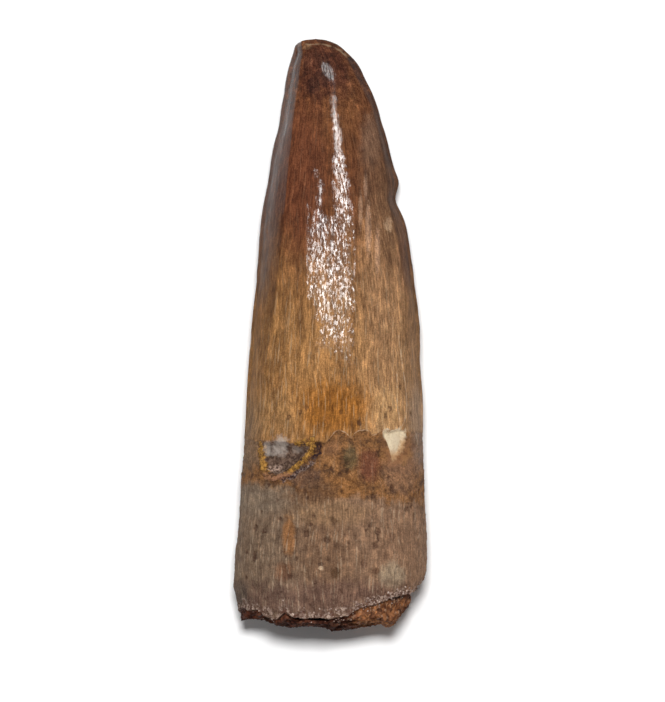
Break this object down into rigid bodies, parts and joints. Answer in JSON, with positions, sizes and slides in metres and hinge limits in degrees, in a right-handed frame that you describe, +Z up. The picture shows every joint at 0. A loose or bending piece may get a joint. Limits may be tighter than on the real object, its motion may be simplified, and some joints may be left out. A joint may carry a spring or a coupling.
{
  "type": "fossil crocodile tooth",
  "caption": "Fossil crocodile tooth lying on its flatter side: a glossy dark brown crown worn blunt at the tip, a grey-brown root, and rusty sandstone in its broken end.",
  "frame": {"origin": "under the middle of the tooth's length and width, on the surface that it lies on", "axes": "+Y along the tooth to its tip, +X to the right seen from above with the tip away, +Z up"},
  "size_m": [0.0229, 0.0699, 0.0181],
  "materials": {
    "fossil_tooth": "glossy red-brown to ochre enamel on the crown, and a satin grey-brown, finely furrowed root",
    "rusty_sandstone": "dull, granular rust-brown sandstone with pale and orange grains"
  },
  "bodies": {
    "root": {"tooth": "fossil_tooth", "sandstone_matrix": "rusty_sandstone"}
  },
  "joints": []
}
